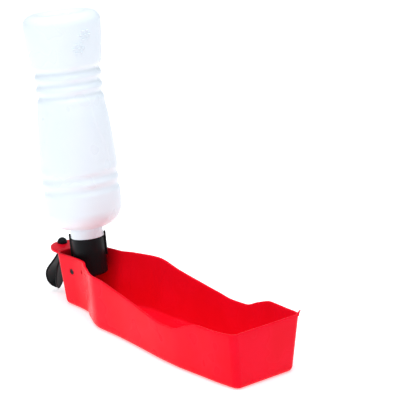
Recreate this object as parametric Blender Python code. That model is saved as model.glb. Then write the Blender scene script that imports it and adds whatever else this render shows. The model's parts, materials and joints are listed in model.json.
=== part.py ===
"""Fold-out travel water bottle: a squeeze bottle that pivots in the head of a drinking trough.

The bottle stands neck down in a screw collar, which turns on two pins in the narrow head of the
trough. It leans back on a stop to pour, and folds forward into the trough to travel. A belt clip
swivels on a stud behind the head. Metres, +Z up. The origin lies in the middle of the trough's
resting face, and +X runs along the trough to its front wall. Lengths along X below are measured
from the pins, and one empty, stand, carries everything back by half of the trough.
"""

import math

import bmesh
import bpy
from mathutils import Matrix, Vector

# Clearances
FIT_GAP = 0.0003  # between pieces that touch
SWING_GAP = 0.0008  # past a wall that a piece swings by
SIDE_GAP = 0.0007  # between the folded bottle and each side wall
FLOOR_GAP = 0.0005  # under the folded bottle

# Bottle, measured along its axis from the level of the pins
BOTTLE_RADIUS = 0.0333
BOTTLE_END = 0.2270  # to the flat of the base
BOTTLE_WALL = 0.0012
BASE_CORNER = 0.0085
BASE_PUSH_UP = 0.0030
FOOT_SHARE = 0.60  # share of the flat base that is pushed up
WAIST_RADIUS = 0.0282
# share of the way from the shoulder to the base, and share of the waist's depth
WAIST_PLAN = (
    (0.0, 0.0),
    (0.21, 0.0),
    (0.36, 0.12),
    (0.50, 0.41),
    (0.58, 0.80),
    (0.62, 1.0),
    (0.74, 0.96),
    (0.79, 0.61),
    (0.88, 0.22),
    (0.97, 0.0),
    (1.0, 0.0),
)
SHOULDER_LENGTH = 0.0180
NECK_RADIUS = 0.0118
NECK_WALL = 0.0016
BEAD_PROUD = 0.0024  # beyond the neck
BEAD_HEIGHT = 0.0075
BEAD_STEP = 0.0008

# Collar
COLLAR_WALL = 0.0023
COLLAR_RIM = 0.0280
COLLAR_FLOOR = 0.0035
COLLAR_SKIRT = 0.0030  # below the pins, before the dome starts
DOME_DEPTH = 0.0040
RIB_WIDTH = 0.0030
RIB_PROUD = 0.0016
RIB_FOOT = 0.0110
HORN_HEIGHT = 0.0042
HORN_DIRECTION = math.radians(47)
HEEL_WIDTH = 0.0070
HEEL_LOW = 0.0070
HEEL_HIGH = 0.0120
NOZZLE_RADIUS = 0.0030
NOZZLE_BORE = 0.0018
NOZZLE_PAST = 0.0004  # the tip's reach below the pins, past the collar's own reach behind them
FLANGE_RADIUS = 0.0070
FLANGE_THICKNESS = 0.0013
WASHER_THICKNESS = 0.0025
THREAD_PLAY = 0.0005

# Fold
PIN_RADIUS = 0.0024
PIN_DEPTH = 0.0045
PIN_OFFSET = 0.0046  # the bottle's axis lies this far ahead of the pins
LEAN = math.radians(9.4)
NEST_TILT = math.radians(5.5)  # how far the folded bottle still rises towards its base
FOLD_TRAVEL = math.radians(90) + LEAN - NEST_TILT

# Trough
WALL = 0.0020
RIM_HEIGHT = 0.0506
BACK_RIM_DROP = 0.0022
SIDE_DRAFT = 0.120
BACK_SLOPE = 0.10
BACK_GAP = 0.0076  # between the back wall and the upright collar, at the pins' height
HEAD_EXTRA = 0.0002
CREASE_X = 0.0190
CREASE_EXTRA = 0.0018
FOOT_FILLET = 0.0044
BACK_CORNER = 0.0056
FRONT_CORNER = 0.0068
FRONT_DRAFT = 0.010
RIM_ROUND = 0.0005
STATION_STEP = 0.0060
CREASE_RUN = 0.3  # share of the way from the crease to the shoulder
CREASE_RISE = 0.4  # share of the widening that is done there
# share of the way from the shoulder to the front, and what is added to the nest's half width
BASIN_PLAN = (
    (0.0, 0.0),
    (0.12, -0.0003),
    (0.31, 0.0013),
    (0.49, 0.0034),
    (0.67, 0.0042),
    (0.85, 0.0030),
    (1.0, 0.0006),
)
# the same share, and how far the rim lies below its full height
RIM_DROPS = (
    (0.0, 0.0008),
    (0.15, 0.0050),
    (0.30, 0.0092),
    (0.42, 0.0126),
    (0.505, 0.0148),
    (0.60, 0.0143),
    (0.69, 0.0079),
    (0.78, 0.0029),
    (0.87, 0.0026),
    (1.0, 0.0013),
)
SLOT_SIZE = (0.0018, 0.0042)
SLOT_DROP = 0.0110
SLOT_SETBACK = 0.0030  # behind the crease
NIB_WIDTH = 0.0022
NIB_HEIGHT = 0.0037
PAD_RADIUS = 0.0042
PAD_THICKNESS = 0.0010
PIN_BEVEL = 0.0004

# Tongue and clip
TONGUE_HALF_WIDTH = 0.0170
TONGUE_LENGTH = 0.0217  # from the back wall to the tip
TONGUE_THICKNESS = 0.0024
TONGUE_BELOW_RIM = 0.0004
STUD_INSET = 0.0062  # from the tongue's tip
STUD_RADIUS = 0.0020
KNOB_RADIUS = 0.0045
KNOB_HEIGHT = 0.0048
DISC_RADIUS = 0.0048
DISC_THICKNESS = 0.0030
BLADE_THICKNESS = 0.0018
BLADE_WIDTH = 0.0150
CLIP_NECK_WIDTH = 0.0070
CLIP_LENGTH = 0.0415
CLIP_RAKE = 0.17  # how far the clip leans out, per metre down
CLIP_TURN = math.radians(15)  # how far it is swivelled towards the near side
CLIP_THROAT = 0.0016  # between the blade and the leaf, at the hinge
LEAF_DROP = 0.0010  # from the disc to the top of the leaf
LEAF_BULGE = 0.0065
LEAF_WIDTH = 0.0180
LEAF_THICKNESS = 0.0018
# share of the way down a paddle, and share of the widening from its neck to its full width
PADDLE_PLAN = ((0.0, 0.0), (0.15, 0.0), (0.5, 1.0), (0.75, 0.74), (0.93, 0.06), (1.0, -0.5))
# share of the way down the leaf, and share of its bulge
LEAF_PLAN = ((0.0, 0.0), (0.25, 0.45), (0.6, 1.0), (0.85, 0.62))

# Mesh fineness
TURN_STEPS = 40
SMALL_STEPS = 24
CORNER_STEPS = 5
CURVE_STEPS = 10
BODY_ROWS = 18
WELD = 0.00001  # of turned profiles along their axis
BITE = 0.6  # share of a wall that a shape joined to it runs into

# Worked out from the sizes above
BEAD_RADIUS = NECK_RADIUS + BEAD_PROUD
SHOULDER_FOOT = COLLAR_RIM + 2 * FIT_GAP + BEAD_HEIGHT + BOTTLE_WALL
SHOULDER_TOP = SHOULDER_FOOT + SHOULDER_LENGTH
COLLAR_BORE = NECK_RADIUS + THREAD_PLAY
COLLAR_RADIUS = COLLAR_BORE + COLLAR_WALL
NOZZLE_TIP = COLLAR_RADIUS - PIN_OFFSET + NOZZLE_PAST
MOUTH = COLLAR_FLOOR + WASHER_THICKNESS + 2 * FIT_GAP
PIN_HEIGHT = (
    WALL
    + FLOOR_GAP
    + (BOTTLE_RADIUS + PIN_OFFSET) * math.cos(NEST_TILT)
    - SHOULDER_TOP * math.sin(NEST_TILT)
)
BORE_RADIUS = PIN_RADIUS + FIT_GAP
NEST_REACH = (
    math.hypot(BOTTLE_END - BASE_CORNER, BOTTLE_RADIUS - BASE_CORNER + PIN_OFFSET) + BASE_CORNER
)
FRONT_X = NEST_REACH + SWING_GAP + WALL
BACK_REACH = COLLAR_RADIUS - PIN_OFFSET + BACK_GAP + WALL - BACK_SLOPE * PIN_HEIGHT
BACK_RIM = RIM_HEIGHT - BACK_RIM_DROP
BACK_X = -BACK_REACH - BACK_SLOPE * BACK_RIM
SHOULDER_X = SHOULDER_TOP
NEST_HALF = BOTTLE_RADIUS + SIDE_GAP + WALL + SIDE_DRAFT * (RIM_HEIGHT - PIN_HEIGHT)
HEAD_HALF = COLLAR_RADIUS + SWING_GAP + WALL + SIDE_DRAFT * (RIM_HEIGHT - PIN_HEIGHT + PIN_OFFSET)
TONGUE_TOP = BACK_RIM - TONGUE_BELOW_RIM
TONGUE_TIP = BACK_X - TONGUE_LENGTH
STUD_X = TONGUE_TIP + STUD_INSET
DISC_TOP = TONGUE_TOP - TONGUE_THICKNESS - FIT_GAP


# Small tools


def smooth_at(points, x):
    """The value at x of a smooth curve through (x, value) points that never overshoots them."""
    xs = [p[0] for p in points]
    ys = [p[1] for p in points]
    slopes = [(ys[i + 1] - ys[i]) / (xs[i + 1] - xs[i]) for i in range(len(xs) - 1)]
    tangents = [0.0]
    for before, after in zip(slopes, slopes[1:]):
        rising = before * after > 0
        tangents.append(2 * before * after / (before + after) if rising else 0.0)
    tangents.append(0.0)
    x = min(max(x, xs[0]), xs[-1])
    i = max(i for i in range(len(xs) - 1) if xs[i] <= x)
    span = xs[i + 1] - xs[i]
    t = (x - xs[i]) / span
    return (
        (2 * t**3 - 3 * t**2 + 1) * ys[i]
        + (t**3 - 2 * t**2 + t) * span * tangents[i]
        + (3 * t**2 - 2 * t**3) * ys[i + 1]
        + (t**3 - t**2) * span * tangents[i + 1]
    )


def arc(centre, radii, start, end, steps):
    """Points along an elliptical arc, angles in degrees."""
    angles = [math.radians(start + (end - start) * k / steps) for k in range(steps + 1)]
    return [
        (centre[0] + radii[0] * math.cos(a), centre[1] + radii[1] * math.sin(a)) for a in angles
    ]


def material(name, colour, roughness, metallic=0.0, transmission=0.0):
    made = bpy.data.materials.new(name)
    made.use_nodes = True
    shader = made.node_tree.nodes["Principled BSDF"]
    shader.inputs["Base Color"].default_value = (*colour, 1.0)
    shader.inputs["Roughness"].default_value = roughness
    shader.inputs["Metallic"].default_value = metallic
    shader.inputs["Transmission Weight"].default_value = transmission
    made.diffuse_color = (*colour, 1.0)
    return made


def empty(name, location, tilt=0.0, turn=0.0, parent=None):
    """A joint's axis: an empty at a place, tilted about Y or turned about Z."""
    made = bpy.data.objects.new(name, None)
    made.location = location
    made.rotation_euler = (0.0, tilt, turn)
    made.parent = parent
    bpy.context.scene.collection.objects.link(made)
    return made


def piece(name, shape, finish, parent=None, smooth_angle=35):
    """An object made from a bmesh."""
    mesh = bpy.data.meshes.new(name)
    shape.to_mesh(mesh)
    shape.free()
    mesh.materials.append(finish)
    mesh.shade_smooth()
    mesh.set_sharp_from_angle(angle=math.radians(smooth_angle))
    made = bpy.data.objects.new(name, mesh)
    made.parent = parent
    bpy.context.scene.collection.objects.link(made)
    return made


def helper(name, shape, finish, parent=None):
    """A shape that is only joined to or cut from another."""
    made = piece(name, shape, finish, parent)
    made.hide_render = True
    made.display_type = "WIRE"
    return made


def combine(target, tool, operation):
    modifier = target.modifiers.new(tool.name, "BOOLEAN")
    modifier.operation = operation
    modifier.solver = "EXACT"
    modifier.object = tool


def turned(name, profile, finish, parent=None, steps=TURN_STEPS):
    """A (radius, height) profile turned about Z, outer side first from top to bottom.

    It may start and end on the axis. Otherwise its last point is joined to its first.
    """
    shape = bmesh.new()
    line = [shape.verts.new((radius, 0.0, height)) for radius, height in profile]
    on_axis = profile[0][0] == 0.0
    for a, b in zip(line, line[1:] if on_axis else line[1:] + line[:1]):
        shape.edges.new((a, b))
    made = piece(name, shape, finish, parent)
    screw = made.modifiers.new("turn", "SCREW")
    screw.steps = screw.render_steps = steps
    screw.use_merge_vertices = True
    screw.merge_threshold = WELD
    screw.use_smooth_shade = True
    return made


def box(low, high):
    shape = bmesh.new()
    bmesh.ops.create_cube(shape, size=1.0)
    size = [b - a for a, b in zip(low, high)]
    middle = [(a + b) / 2 for a, b in zip(low, high)]
    bmesh.ops.transform(
        shape, matrix=Matrix.Translation(middle) @ Matrix.Diagonal((*size, 1.0)), verts=shape.verts
    )
    return shape


def rod(radius, start, end, steps=SMALL_STEPS):
    """A cylinder between two points."""
    start, end = Vector(start), Vector(end)
    along = end - start
    turn = along.to_track_quat("Z", "Y").to_matrix().to_4x4()
    place = Matrix.Translation((start + end) / 2) @ turn
    shape = bmesh.new()
    bmesh.ops.create_cone(
        shape,
        cap_ends=True,
        segments=steps,
        radius1=radius,
        radius2=radius,
        depth=along.length,
        matrix=place,
    )
    return shape


def slab(outline, low, high):
    """A flat plate: an (x, y) outline between two heights."""
    shape = bmesh.new()
    base = shape.faces.new([shape.verts.new((x, y, low)) for x, y in outline])
    raised = bmesh.ops.extrude_face_region(shape, geom=[base])["geom"]
    verts = [v for v in raised if isinstance(v, bmesh.types.BMVert)]
    bmesh.ops.translate(shape, verts=verts, vec=(0.0, 0.0, high - low))
    bmesh.ops.recalc_face_normals(shape, faces=shape.faces)
    return shape


def prism(outline, width):
    """An (x, z) outline given a width along Y, centred."""
    shape = slab(outline, -width / 2, width / 2)
    bmesh.ops.rotate(shape, matrix=Matrix.Rotation(math.radians(90), 3, "X"), verts=shape.verts)
    return shape


def bridged(rings):
    """A closed skin over a run of vertex rings, each mirrored end to end, with a cap on each end."""
    shape = bmesh.new()
    made = [[shape.verts.new(point) for point in ring] for ring in rings]
    count = len(made[0])
    for lower, upper in zip(made, made[1:]):
        for i in range(count):
            j = (i + 1) % count
            shape.faces.new((lower[i], lower[j], upper[j], upper[i]))
    for ring in (made[0], made[-1]):
        for i in range(count // 2 - 1):
            shape.faces.new((ring[i], ring[i + 1], ring[count - 2 - i], ring[count - 1 - i]))
    bmesh.ops.recalc_face_normals(shape, faces=shape.faces)
    return shape


# Trough


def basin_share(x):
    return min(max((x - SHOULDER_X) / (FRONT_X - SHOULDER_X), 0.0), 1.0)


def half_width(x):
    """The trough's outer half width at the rim."""
    if x >= SHOULDER_X:
        return NEST_HALF + smooth_at(BASIN_PLAN, basin_share(x))
    head = HEAD_HALF + HEAD_EXTRA
    crease = head + CREASE_EXTRA
    bulge = (
        (BACK_X, head),
        (0.0, head),
        (CREASE_X, crease),
        (CREASE_X + CREASE_RUN * (SHOULDER_X - CREASE_X), crease + CREASE_RISE * (NEST_HALF - crease)),
        (SHOULDER_X, NEST_HALF),
    )
    return smooth_at(bulge, x)


def rim_height(x):
    if x >= SHOULDER_X:
        return RIM_HEIGHT - smooth_at(RIM_DROPS, basin_share(x))
    shoulder_rim = RIM_HEIGHT - RIM_DROPS[0][1]
    rise = ((BACK_X, BACK_RIM), (CREASE_X, RIM_HEIGHT), (SHOULDER_X, shoulder_rim))
    return smooth_at(rise, x)


def half_plan():
    """The rim's outline on the +Y side, from the back wall to the front wall."""
    back = (BACK_X + BACK_CORNER, half_width(BACK_X) - BACK_CORNER)
    front = (FRONT_X - FRONT_CORNER, half_width(FRONT_X) - FRONT_CORNER)
    sides = round((front[0] - back[0]) / STATION_STEP)
    step = (front[0] - back[0]) / sides
    stations = [back[0] + k * step for k in range(1, sides)]
    points = arc(back, (BACK_CORNER, BACK_CORNER), 180, 90, CORNER_STEPS)
    points += [(x, half_width(x)) for x in stations]
    points += arc(front, (FRONT_CORNER, FRONT_CORNER), 90, 0, CORNER_STEPS)
    return points


def full_plan():
    half = half_plan()
    return half + [(x, -y) for x, y in reversed(half)]


def outward(points):
    """The outward normal at each point of a closed outline that runs clockwise from above."""
    normals = []
    for i in range(len(points)):
        (ax, ay), (bx, by) = points[i - 1], points[(i + 1) % len(points)]
        length = math.hypot(bx - ax, by - ay)
        normals.append((-(by - ay) / length, (bx - ax) / length))
    return normals


def end_pull(x):
    """How far the raked end walls carry a station towards the middle, per metre below the rim."""
    start = BACK_X + BACK_CORNER
    back = BACK_SLOPE * min(1.0, max(0.0, 1.0 - (x - start) / (CREASE_X - start)))
    return back - FRONT_DRAFT * min(1.0, basin_share(x + FRONT_CORNER))


def trough_ring(plan, normals, inset, level):
    """One ring of the trough's skin: the plan inset, at the height that level gives for each rim height."""
    ring = []
    for (x, y), (nx, ny) in zip(plan, normals):
        rim = rim_height(x)
        z = level(rim)
        depth = rim - z
        draft = math.copysign(SIDE_DRAFT, y) * depth
        ring.append((x - nx * inset + end_pull(x) * depth, y - ny * inset - draft, z))
    return ring


def trough_shell():
    """The outer skin from the foot up to the rim, then the inner skin from the rim down to the floor."""
    plan = full_plan()
    normals = outward(plan)
    fillet = FOOT_FILLET - WALL
    rings = []
    for inset, z in arc((FOOT_FILLET, FOOT_FILLET), (FOOT_FILLET, FOOT_FILLET), 270, 180, CORNER_STEPS):
        rings.append(trough_ring(plan, normals, inset, lambda rim, z=z: z))
    rings.append(trough_ring(plan, normals, 0.0, lambda rim: rim - RIM_ROUND))
    rings.append(trough_ring(plan, normals, RIM_ROUND, lambda rim: rim))
    rings.append(trough_ring(plan, normals, WALL - RIM_ROUND, lambda rim: rim))
    rings.append(trough_ring(plan, normals, WALL, lambda rim: rim - RIM_ROUND))
    for inset, z in arc((FOOT_FILLET, FOOT_FILLET), (fillet, fillet), 180, 270, CORNER_STEPS):
        rings.append(trough_ring(plan, normals, inset, lambda rim, z=z: z))
    return bridged(rings)


def tongue_outline():
    """A D that runs back from inside the back wall."""
    radius = TONGUE_HALF_WIDTH
    root = BACK_X + WALL * BITE
    return [(root, -radius), (root, radius)] + arc(
        (TONGUE_TIP + radius, 0.0), (radius, radius), 90, 270, 2 * CURVE_STEPS
    )


def build_trough(finish, stand):
    trough = piece("trough", trough_shell(), finish, stand)
    tongue = slab(tongue_outline(), TONGUE_TOP - TONGUE_THICKNESS, TONGUE_TOP)
    combine(trough, helper("tongue_shape", tongue, finish, stand), "UNION")
    nib_y = half_width(FRONT_X) - FRONT_CORNER
    nib_z = rim_height(FRONT_X)
    nib = box(
        (FRONT_X - WALL + FIT_GAP, nib_y - NIB_WIDTH / 2, nib_z - WALL),
        (FRONT_X - FIT_GAP, nib_y + NIB_WIDTH / 2, nib_z + NIB_HEIGHT),
    )
    combine(trough, helper("nib_shape", nib, finish, stand), "UNION")
    bore_y = HEAD_HALF + WALL
    bore = rod(BORE_RADIUS, (0.0, -bore_y, PIN_HEIGHT), (0.0, bore_y, PIN_HEIGHT))
    combine(trough, helper("pin_bore", bore, finish, stand), "DIFFERENCE")
    below = TONGUE_TOP - 2 * TONGUE_THICKNESS
    hole = rod(STUD_RADIUS + FIT_GAP, (STUD_X, 0.0, below), (STUD_X, 0.0, TONGUE_TOP + TONGUE_THICKNESS))
    combine(trough, helper("stud_hole", hole, finish, stand), "DIFFERENCE")
    slot_x = CREASE_X - SLOT_SETBACK
    slot_z = RIM_HEIGHT - SLOT_DROP
    outside = -half_width(CREASE_X)
    inside = outside + WALL + SIDE_DRAFT * (SLOT_DROP + SLOT_SIZE[1])
    slot = box(
        (slot_x - SLOT_SIZE[0] / 2, outside - WALL, slot_z - SLOT_SIZE[1] / 2),
        (slot_x + SLOT_SIZE[0] / 2, inside + WALL, slot_z + SLOT_SIZE[1] / 2),
    )
    combine(trough, helper("slot_shape", slot, finish, stand), "DIFFERENCE")
    return trough


def folded(point):
    """Where a point of the bottle's own frame (ahead of the pins, along the axis) lies when folded."""
    x, z = point
    turn = FOLD_TRAVEL - LEAN
    along, up = (math.cos(turn), math.sin(turn))
    return Vector((x * along + z * up, 0.0, PIN_HEIGHT - x * up + z * along))


def build_seal_pad(finish, stand):
    """A round pad between the back wall and the nozzle's mouth when the bottle is folded away."""
    mouth = folded((PIN_OFFSET, -NOZZLE_TIP - FIT_GAP))
    further = folded((PIN_OFFSET, -NOZZLE_TIP - FIT_GAP - PAD_THICKNESS))
    back = (further - mouth).normalized()
    shape = rod(PAD_RADIUS, mouth, further)
    wall_x = -BACK_REACH + WALL + FIT_GAP
    for vertex in shape.verts:
        if (vertex.co - mouth).dot(back) < PAD_THICKNESS / 2:
            continue
        gap = vertex.co.x + BACK_SLOPE * vertex.co.z - wall_x
        vertex.co -= back * (gap / (back.x + BACK_SLOPE * back.z))
    return piece("seal_pad", shape, finish, stand)


# Collar and what it holds


def build_collar(finish, fold, axis):
    dome = arc((0.0, -COLLAR_SKIRT), (COLLAR_RADIUS, DOME_DEPTH), 0, -90, CURVE_STEPS)
    hole = NOZZLE_RADIUS + FIT_GAP
    profile = [(COLLAR_RADIUS, COLLAR_RIM)]
    profile += [point for point in dome if point[0] > hole]
    profile += [(hole, dome[-1][1]), (hole, COLLAR_FLOOR)]
    profile += [(COLLAR_BORE, COLLAR_FLOOR), (COLLAR_BORE, COLLAR_RIM)]
    collar = turned("collar", profile, finish, axis)
    for side, turn in (("back", HORN_DIRECTION + math.pi), ("front", HORN_DIRECTION)):
        root = COLLAR_RADIUS - COLLAR_WALL * BITE
        outer = COLLAR_RADIUS + RIB_PROUD
        horn = BEAD_RADIUS + FIT_GAP
        step = COLLAR_RIM - FIT_GAP
        rib = prism(
            [(root, RIB_FOOT), (outer, RIB_FOOT), (outer, COLLAR_RIM + HORN_HEIGHT)]
            + [(horn, COLLAR_RIM + HORN_HEIGHT), (horn, step), (root, step)],
            RIB_WIDTH,
        )
        bmesh.ops.rotate(rib, matrix=Matrix.Rotation(turn, 3, "Z"), verts=rib.verts)
        combine(collar, helper(f"rib_{side}", rib, finish, axis), "UNION")
    heel = box(
        (-heel_reach() - PIN_OFFSET, -HEEL_WIDTH / 2, HEEL_LOW),
        (-COLLAR_RADIUS + COLLAR_WALL * BITE, HEEL_WIDTH / 2, HEEL_HIGH),
    )
    combine(collar, helper("heel_shape", heel, finish, axis), "UNION")
    for side in (-1, 1):
        hole = rod(
            BORE_RADIUS,
            (0.0, side * (pin_inner_end() - FIT_GAP), 0.0),
            (0.0, side * (COLLAR_RADIUS + WALL), 0.0),
        )
        name = "pin_seat_near" if side < 0 else "pin_seat_far"
        combine(collar, helper(name, hole, finish, fold), "DIFFERENCE")
    return collar


def heel_reach():
    """How far behind the pins the first edge of the heel meets the back wall's inner face."""
    wall_foot = -BACK_REACH + WALL + FIT_GAP
    lean_sin, lean_cos = math.sin(LEAN), math.cos(LEAN)
    reaches = []
    for height in (HEEL_LOW, HEEL_HIGH):
        wall_there = BACK_SLOPE * (PIN_HEIGHT + height * lean_cos) - wall_foot
        reaches.append((wall_there - height * lean_sin) / (lean_cos + BACK_SLOPE * lean_sin))
    return min(reaches)


def pin_inner_end():
    """The blind end of the pins, inside the collar."""
    return math.sqrt(COLLAR_RADIUS**2 - PIN_OFFSET**2) - PIN_DEPTH


def pin_outer_end():
    """The outer face of the head's side wall at the pins' height."""
    return half_width(0.0) - SIDE_DRAFT * (rim_height(0.0) - PIN_HEIGHT)


def build_pin(name, side, finish, fold):
    pin = piece(
        name,
        rod(PIN_RADIUS, (0.0, side * pin_inner_end(), 0.0), (0.0, side * pin_outer_end(), 0.0)),
        finish,
        fold,
    )
    bevel = pin.modifiers.new("edge", "BEVEL")
    bevel.width = PIN_BEVEL
    bevel.segments = 2
    return pin


def build_nozzle(finish, axis):
    flange_low = COLLAR_FLOOR + FIT_GAP
    flange_high = flange_low + FLANGE_THICKNESS
    profile = [
        (FLANGE_RADIUS, flange_high),
        (FLANGE_RADIUS, flange_low),
        (NOZZLE_RADIUS, flange_low),
        (NOZZLE_RADIUS, -NOZZLE_TIP),
        (NOZZLE_BORE, -NOZZLE_TIP),
        (NOZZLE_BORE, flange_high),
    ]
    return turned("nozzle", profile, finish, axis, SMALL_STEPS)


def build_washer(finish, axis):
    low = COLLAR_FLOOR + FIT_GAP
    outer = COLLAR_BORE - FIT_GAP
    inner = FLANGE_RADIUS + FIT_GAP
    high = low + WASHER_THICKNESS
    profile = [(outer, high), (outer, low), (inner, low), (inner, high)]
    return turned("neck_washer", profile, finish, axis, SMALL_STEPS)


# Bottle


def body_radius(share):
    """The bottle's radius from the shoulder (0) to the base (1)."""
    return BOTTLE_RADIUS - smooth_at(WAIST_PLAN, share) * (BOTTLE_RADIUS - WAIST_RADIUS)


def base_line(corner, drop):
    """The base from its middle to its corner, at a corner radius and a depth below the outside."""
    centre = (BOTTLE_RADIUS - BASE_CORNER, BOTTLE_END - BASE_CORNER)
    push = BOTTLE_END - BASE_PUSH_UP - drop
    return [(0.0, push), (centre[0] * FOOT_SHARE, push)] + arc(
        centre, (corner, corner), 90, 0, CORNER_STEPS
    )


def body_line():
    """The outer (radius, height) line from under the base's corner down to the shoulder's foot."""
    length = BOTTLE_END - BASE_CORNER - SHOULDER_TOP
    shares = [1 - k / BODY_ROWS for k in range(1, BODY_ROWS)]
    line = [(body_radius(share), SHOULDER_TOP + length * share) for share in shares]
    neck = BEAD_RADIUS - BEAD_STEP
    shoulder = (BOTTLE_RADIUS - neck, SHOULDER_LENGTH)
    return line + arc((neck, SHOULDER_TOP), shoulder, 0, -90, CURVE_STEPS)


def build_bottle(finish, axis):
    body = body_line()
    bead_low = COLLAR_RIM + FIT_GAP
    bead_high = bead_low + BEAD_HEIGHT
    bore = NECK_RADIUS - NECK_WALL
    neck = [
        (BEAD_RADIUS, bead_high),
        (BEAD_RADIUS, bead_low),
        (NECK_RADIUS, bead_low),
        (NECK_RADIUS, MOUTH),
        (bore, MOUTH),
        (bore, SHOULDER_FOOT + BOTTLE_WALL),
    ]
    inside = []
    for radius, height in body:
        raised = BOTTLE_WALL if height < SHOULDER_TOP else 0.0
        if radius - BOTTLE_WALL > bore:
            inside.append((radius - BOTTLE_WALL, height + raised))
    outer = base_line(BASE_CORNER, 0.0) + body
    inner = inside[::-1] + base_line(BASE_CORNER - BOTTLE_WALL, BOTTLE_WALL)[::-1]
    return turned("bottle", outer + neck + inner, finish, axis)


# Clip


def strip(centres, widths, thickness):
    """A thin plate that follows a line in the XZ plane, with a width along Y at each point."""
    rings = []
    for i, (x, z) in enumerate(centres):
        ax, az = centres[max(i - 1, 0)]
        bx, bz = centres[min(i + 1, len(centres) - 1)]
        along = Vector((bx - ax, 0.0, bz - az)).normalized()
        across = Vector((along.z, 0.0, -along.x)) * (thickness / 2)
        half = widths[i] / 2
        middle = Vector((x, 0.0, z))
        side = Vector((0.0, half, 0.0))
        near = [middle - across - side, middle + across - side]
        rings.append(near + [middle + across + side, middle - across + side])
    return bridged(rings)


def clip_width(share, full):
    """A paddle's width from its neck (0) to its round tip (1)."""
    return CLIP_NECK_WIDTH + smooth_at(PADDLE_PLAN, share) * (full - CLIP_NECK_WIDTH)


def build_clip(finish, swivel, leaf_hinge):
    shares = [k / CURVE_STEPS for k in range(CURVE_STEPS + 1)]
    blade_x = CLIP_THROAT / 2 + BLADE_THICKNESS / 2
    root = DISC_THICKNESS / 2
    drop = CLIP_LENGTH - root
    centres = [(blade_x - CLIP_RAKE * drop * s, -root - drop * s) for s in shares]
    widths = [clip_width(s, BLADE_WIDTH) for s in shares]
    blade = piece("clip_blade", strip(centres, widths, BLADE_THICKNESS), finish, swivel)
    disc = rod(DISC_RADIUS, (0.0, 0.0, -DISC_THICKNESS), (0.0, 0.0, 0.0))
    combine(blade, helper("clip_disc", disc, finish, swivel), "UNION")

    length = CLIP_LENGTH - DISC_THICKNESS - LEAF_DROP
    closed = (4 * FIT_GAP - CLIP_THROAT) / LEAF_BULGE  # the tip rests on the blade
    bulge = LEAF_PLAN + ((1.0, closed),)
    bulges = [LEAF_BULGE * smooth_at(bulge, s) for s in shares]
    line = [(-out - CLIP_RAKE * length * s, -length * s) for out, s in zip(bulges, shares)]
    leaf_widths = [clip_width(s, LEAF_WIDTH) for s in shares]
    piece("clip_leaf", strip(line, leaf_widths, LEAF_THICKNESS), finish, leaf_hinge)


def build_stud(finish, swivel):
    top = TONGUE_THICKNESS + 2 * FIT_GAP
    dome = arc((0.0, top), (KNOB_RADIUS, KNOB_HEIGHT), 90, 0, CURVE_STEPS // 2)
    dome[0] = (0.0, top + KNOB_HEIGHT)
    profile = dome + [(STUD_RADIUS, top), (STUD_RADIUS, FIT_GAP), (0.0, FIT_GAP)]
    return turned("clip_stud", profile, finish, swivel, SMALL_STEPS)


def build():
    for old in list(bpy.data.objects):
        bpy.data.objects.remove(old, do_unlink=True)

    red = material("red_plastic", (0.78, 0.012, 0.016), 0.28)
    black = material("black_plastic", (0.012, 0.014, 0.015), 0.35)
    milky = material("milky_plastic", (0.86, 0.88, 0.93), 0.30, transmission=0.35)
    rubber = material("grey_rubber", (0.10, 0.10, 0.11), 0.75)

    stand = empty("stand", (-FRONT_X / 2, 0.0, 0.0))
    build_trough(red, stand)
    build_seal_pad(rubber, stand)

    fold = empty("bottle_fold", (0.0, 0.0, PIN_HEIGHT), tilt=-LEAN, parent=stand)
    axis = empty("bottle_axis", (PIN_OFFSET, 0.0, 0.0), parent=fold)
    build_collar(black, fold, axis)
    build_pin("pivot_pin_near", -1, black, fold)
    build_pin("pivot_pin_far", 1, black, fold)
    build_nozzle(black, axis)
    build_washer(rubber, axis)
    build_bottle(milky, axis)

    swivel = empty("clip_swivel", (STUD_X, 0.0, DISC_TOP), turn=CLIP_TURN, parent=stand)
    leaf_z = -DISC_THICKNESS - LEAF_DROP
    leaf_x = -CLIP_THROAT / 2 - LEAF_THICKNESS / 2 + CLIP_RAKE * (leaf_z + DISC_THICKNESS / 2)
    leaf_hinge = empty("leaf_hinge", (leaf_x, 0.0, leaf_z), parent=swivel)
    build_clip(black, swivel, leaf_hinge)
    build_stud(black, swivel)


build()
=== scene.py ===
"""The looks of a fold-out travel water bottle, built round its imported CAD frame.

A milky squeeze bottle stands neck down in a black screw collar, which turns on two pins in the
narrow head of a red drinking trough. A belt clip hangs from a tongue behind the head. Metres, +Z up,
in the frame's own place: the origin lies in the middle of the trough's resting face.
"""

import json
import logging
import math
from dataclasses import dataclass, field
from enum import Enum
from typing import Callable, Optional, Sequence

import bmesh
import bpy
from mathutils import Matrix, Vector


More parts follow.
